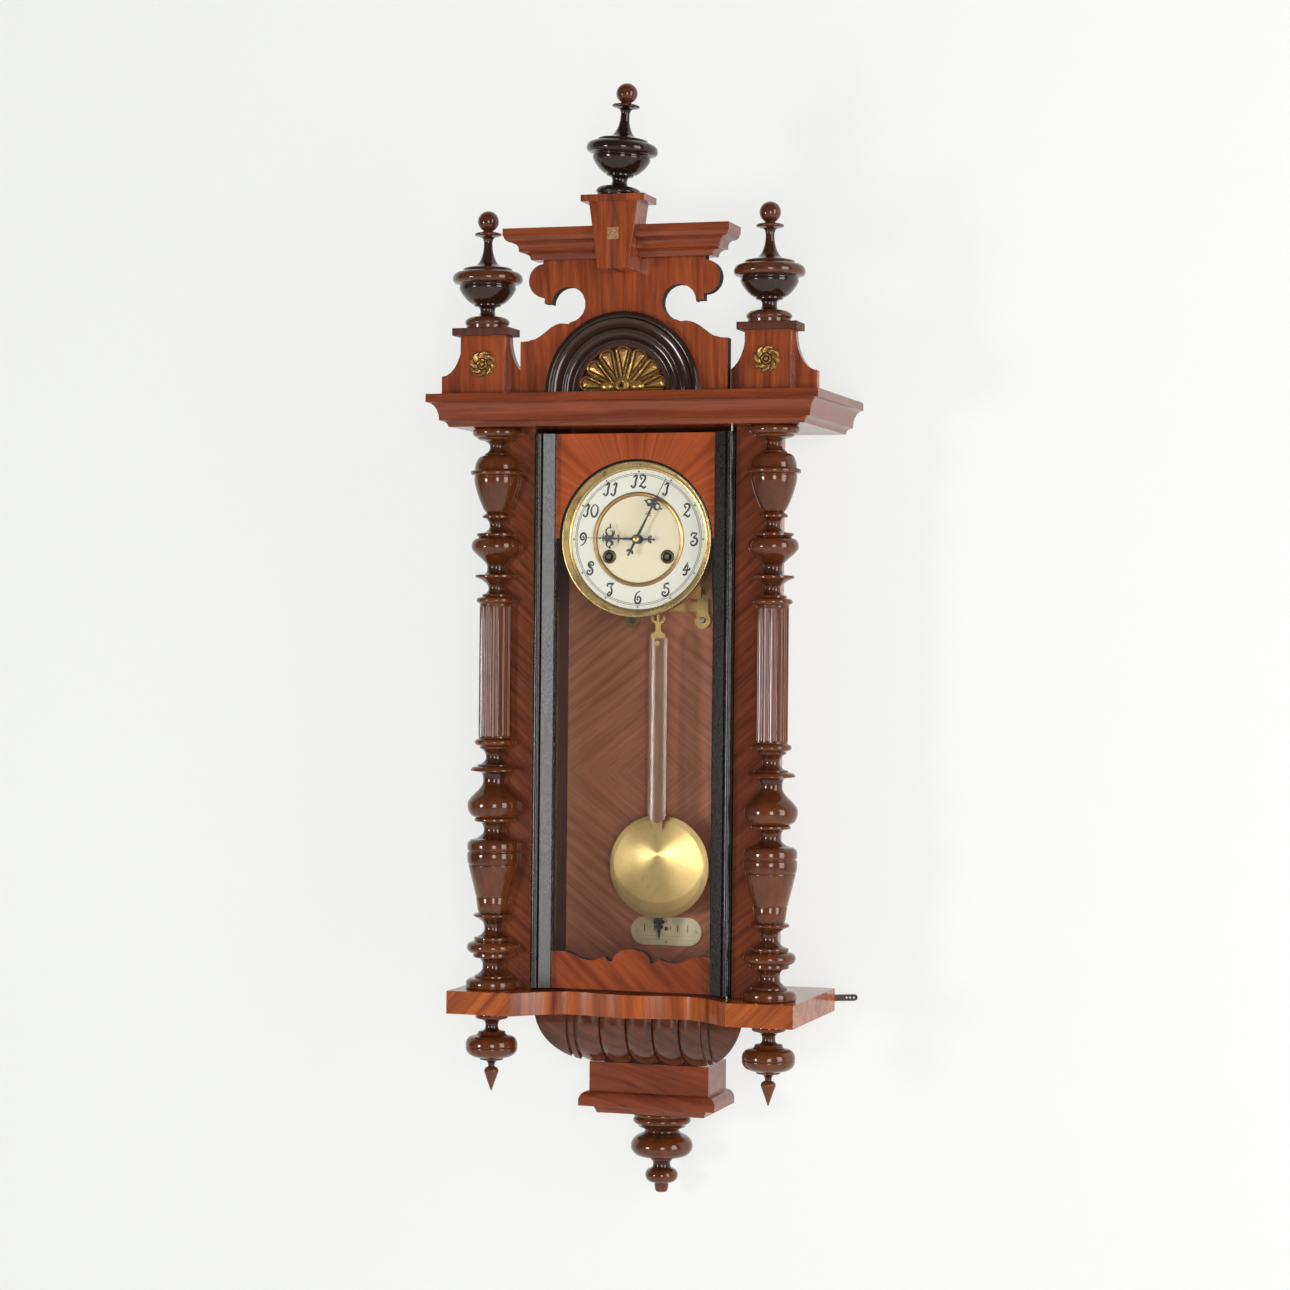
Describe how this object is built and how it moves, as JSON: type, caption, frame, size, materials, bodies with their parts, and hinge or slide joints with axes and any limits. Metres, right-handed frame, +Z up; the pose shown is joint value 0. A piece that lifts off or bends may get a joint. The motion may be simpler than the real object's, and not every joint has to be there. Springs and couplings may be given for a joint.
{
  "type": "wall regulator clock",
  "caption": "Tall narrow wall clock: glazed door between fluted columns, round enamel dial, swinging pendulum, moulded crest with finials, gadrooned console.",
  "frame": {"origin": "on the wall plane, straight behind the centre of the dial", "axes": "+Z up, -Y out of the wall towards the viewer, +X to the viewer's right"},
  "size_m": [0.4005, 0.2269, 1.1009],
  "materials": {
    "walnut_veneer": "polished veneer",
    "walnut_turned": "polished turned wood",
    "ebonised_wood": "black polish with wear",
    "pale_wood": "varnished",
    "gilt": "aged gilding on carved wood",
    "brass": "lacquered",
    "steel": "polished",
    "blued_steel": "dark blued",
    "enamel": "fired enamel",
    "cream": "aged satin",
    "window_glass": "clear"
  },
  "bodies": {
    "case": {"backboard": "walnut_veneer", "case_sides": "walnut_veneer", "base_board": "walnut_veneer", "main_cornice": "walnut_veneer", "columns": "walnut_turned", "side_drops": "walnut_turned", "console": "walnut_veneer", "plinth": "walnut_veneer", "pendant": "walnut_turned", "crest_board": "walnut_veneer", "arch_moulding": "ebonised_wood", "shell_ornament": "gilt", "pedestals": "walnut_veneer", "rosettes": "gilt", "side_finials": "walnut_turned", "centre_finial": "ebonised_wood", "crest_cornice": "walnut_veneer", "keystone": "walnut_veneer", "hanger_plate": "brass", "wood_screws": "steel", "movement_bracket": "brass", "gong_stand": "steel", "gong_coil": "steel", "beat_scale": "enamel", "pivot_sockets": "brass", "front_plate": "brass", "back_plate": "brass", "dial_bezel": "brass", "chapter_ring": "enamel", "dial_trim": "brass", "dial_centre": "cream"},
    "door": {"door_stile_left": "ebonised_wood", "door_stile_right": "ebonised_wood", "door_top_panel": "walnut_veneer", "door_bottom_rail": "walnut_veneer", "door_glass": "window_glass", "glass_slips": "ebonised_wood", "door_pivots": "steel"},
    "steady": {"steady_strap": "steel"},
    "centre": {"centre_wheel": "brass", "minute_hand": "blued_steel"},
    "hour": {"hour_wheel": "brass", "hour_hand": "blued_steel"},
    "motion": {"minute_wheel": "brass"},
    "second": {"second_wheel": "brass"},
    "third": {"third_wheel": "brass"},
    "escape": {"escape_wheel": "brass"},
    "going": {"going_barrel": "brass"},
    "striking": {"strike_barrel": "brass"},
    "pins": {"pin_wheel": "brass"},
    "air_brake": {"fly": "brass"},
    "striker": {"hammer": "brass"},
    "escapement": {"anchor": "steel", "crutch": "steel"},
    "pendulum": {"pendulum_hook": "brass", "pendulum_rod": "pale_wood", "pendulum_bob": "brass", "pendulum_pointer": "ebonised_wood"},
    "wind_right": {"winding_arbor_right": "steel"},
    "wind_left": {"winding_arbor_left": "steel"}
  },
  "joints": [
    {"name": "minute_hand_turn", "type": "hinge", "parent": "case", "child": "centre", "pos_m": [0, -0.09, 0], "axis": [0, 1, 0], "continuous": true},
    {"name": "hour_hand_turn", "type": "hinge", "parent": "case", "child": "hour", "pos_m": [0, -0.09, 0], "axis": [0, 1, 0], "continuous": true},
    {"name": "minute_wheel_turn", "type": "hinge", "parent": "case", "child": "motion", "pos_m": [0.00636, -0.075, 0.01018], "axis": [0, 1, 0], "continuous": true},
    {"name": "second_wheel_turn", "type": "hinge", "parent": "case", "child": "second", "pos_m": [0.02159, -0.075, 0.013], "axis": [0, 1, 0], "continuous": true},
    {"name": "third_wheel_turn", "type": "hinge", "parent": "case", "child": "third", "pos_m": [-0.01656, -0.075, 0.01449], "axis": [0, 1, 0], "continuous": true},
    {"name": "escape_wheel_turn", "type": "hinge", "parent": "case", "child": "escape", "pos_m": [0, -0.075, 0.027], "axis": [0, 1, 0], "continuous": true},
    {"name": "going_barrel_turn", "type": "hinge", "parent": "case", "child": "going", "pos_m": [0.0302, -0.075, -0.0173], "axis": [0, 1, 0], "continuous": true},
    {"name": "strike_barrel_turn", "type": "hinge", "parent": "case", "child": "striking", "pos_m": [-0.0302, -0.075, -0.0173], "axis": [0, 1, 0], "continuous": true},
    {"name": "pin_wheel_turn", "type": "hinge", "parent": "case", "child": "pins", "pos_m": [-0.042, -0.075, 0.01191], "axis": [0, 1, 0], "continuous": true},
    {"name": "fly_turn", "type": "hinge", "parent": "case", "child": "air_brake", "pos_m": [-0.03402, -0.075, 0.02692], "axis": [0, 1, 0], "continuous": true},
    {"name": "hammer_swing", "type": "hinge", "parent": "case", "child": "striker", "pos_m": [-0.046, -0.075, 0.03], "axis": [0, 1, 0], "range_deg": [-6, 12], "stiffness_Nm_per_rad": 0.05},
    {"name": "pendulum_swing", "type": "hinge", "parent": "case", "child": "pendulum", "pos_m": [0, -0.0455, 0.044], "axis": [0, 1, 0], "range_deg": [-4, 4]},
    {"name": "anchor_rock", "type": "hinge", "parent": "case", "child": "escapement", "pos_m": [0, -0.0455, 0.044], "axis": [0, 1, 0], "range_deg": [-4, 4]},
    {"name": "door_swing", "type": "hinge", "parent": "case", "child": "door", "pos_m": [0.1005, -0.134, -0.17], "axis": [0, 0, 1], "range_deg": [0, 100]},
    {"name": "steady_turn", "type": "hinge", "parent": "case", "child": "steady", "pos_m": [0.1574, -0.0034, -0.4604], "axis": [0, 1, 0], "range_deg": [-60, 60]},
    {"name": "winding_right_turn", "type": "hinge", "parent": "case", "child": "wind_right", "pos_m": [0.0302, -0.075, -0.0173], "axis": [0, 1, 0], "continuous": true},
    {"name": "winding_left_turn", "type": "hinge", "parent": "case", "child": "wind_left", "pos_m": [-0.0302, -0.075, -0.0173], "axis": [0, 1, 0], "continuous": true}
  ],
  "couplings": [
    {"joint": "hour_hand_turn", "follows": "minute_hand_turn", "ratio": 0.083333},
    {"joint": "minute_wheel_turn", "follows": "minute_hand_turn", "ratio": -0.33333},
    {"joint": "second_wheel_turn", "follows": "minute_hand_turn", "ratio": -0.16667},
    {"joint": "going_barrel_turn", "follows": "minute_hand_turn", "ratio": 0.020833},
    {"joint": "third_wheel_turn", "follows": "minute_hand_turn", "ratio": -10},
    {"joint": "escape_wheel_turn", "follows": "minute_hand_turn", "ratio": 93.75},
    {"joint": "pin_wheel_turn", "follows": "strike_barrel_turn", "ratio": -8},
    {"joint": "fly_turn", "follows": "strike_barrel_turn", "ratio": 60},
    {"joint": "anchor_rock", "follows": "pendulum_swing", "ratio": 1}
  ]
}
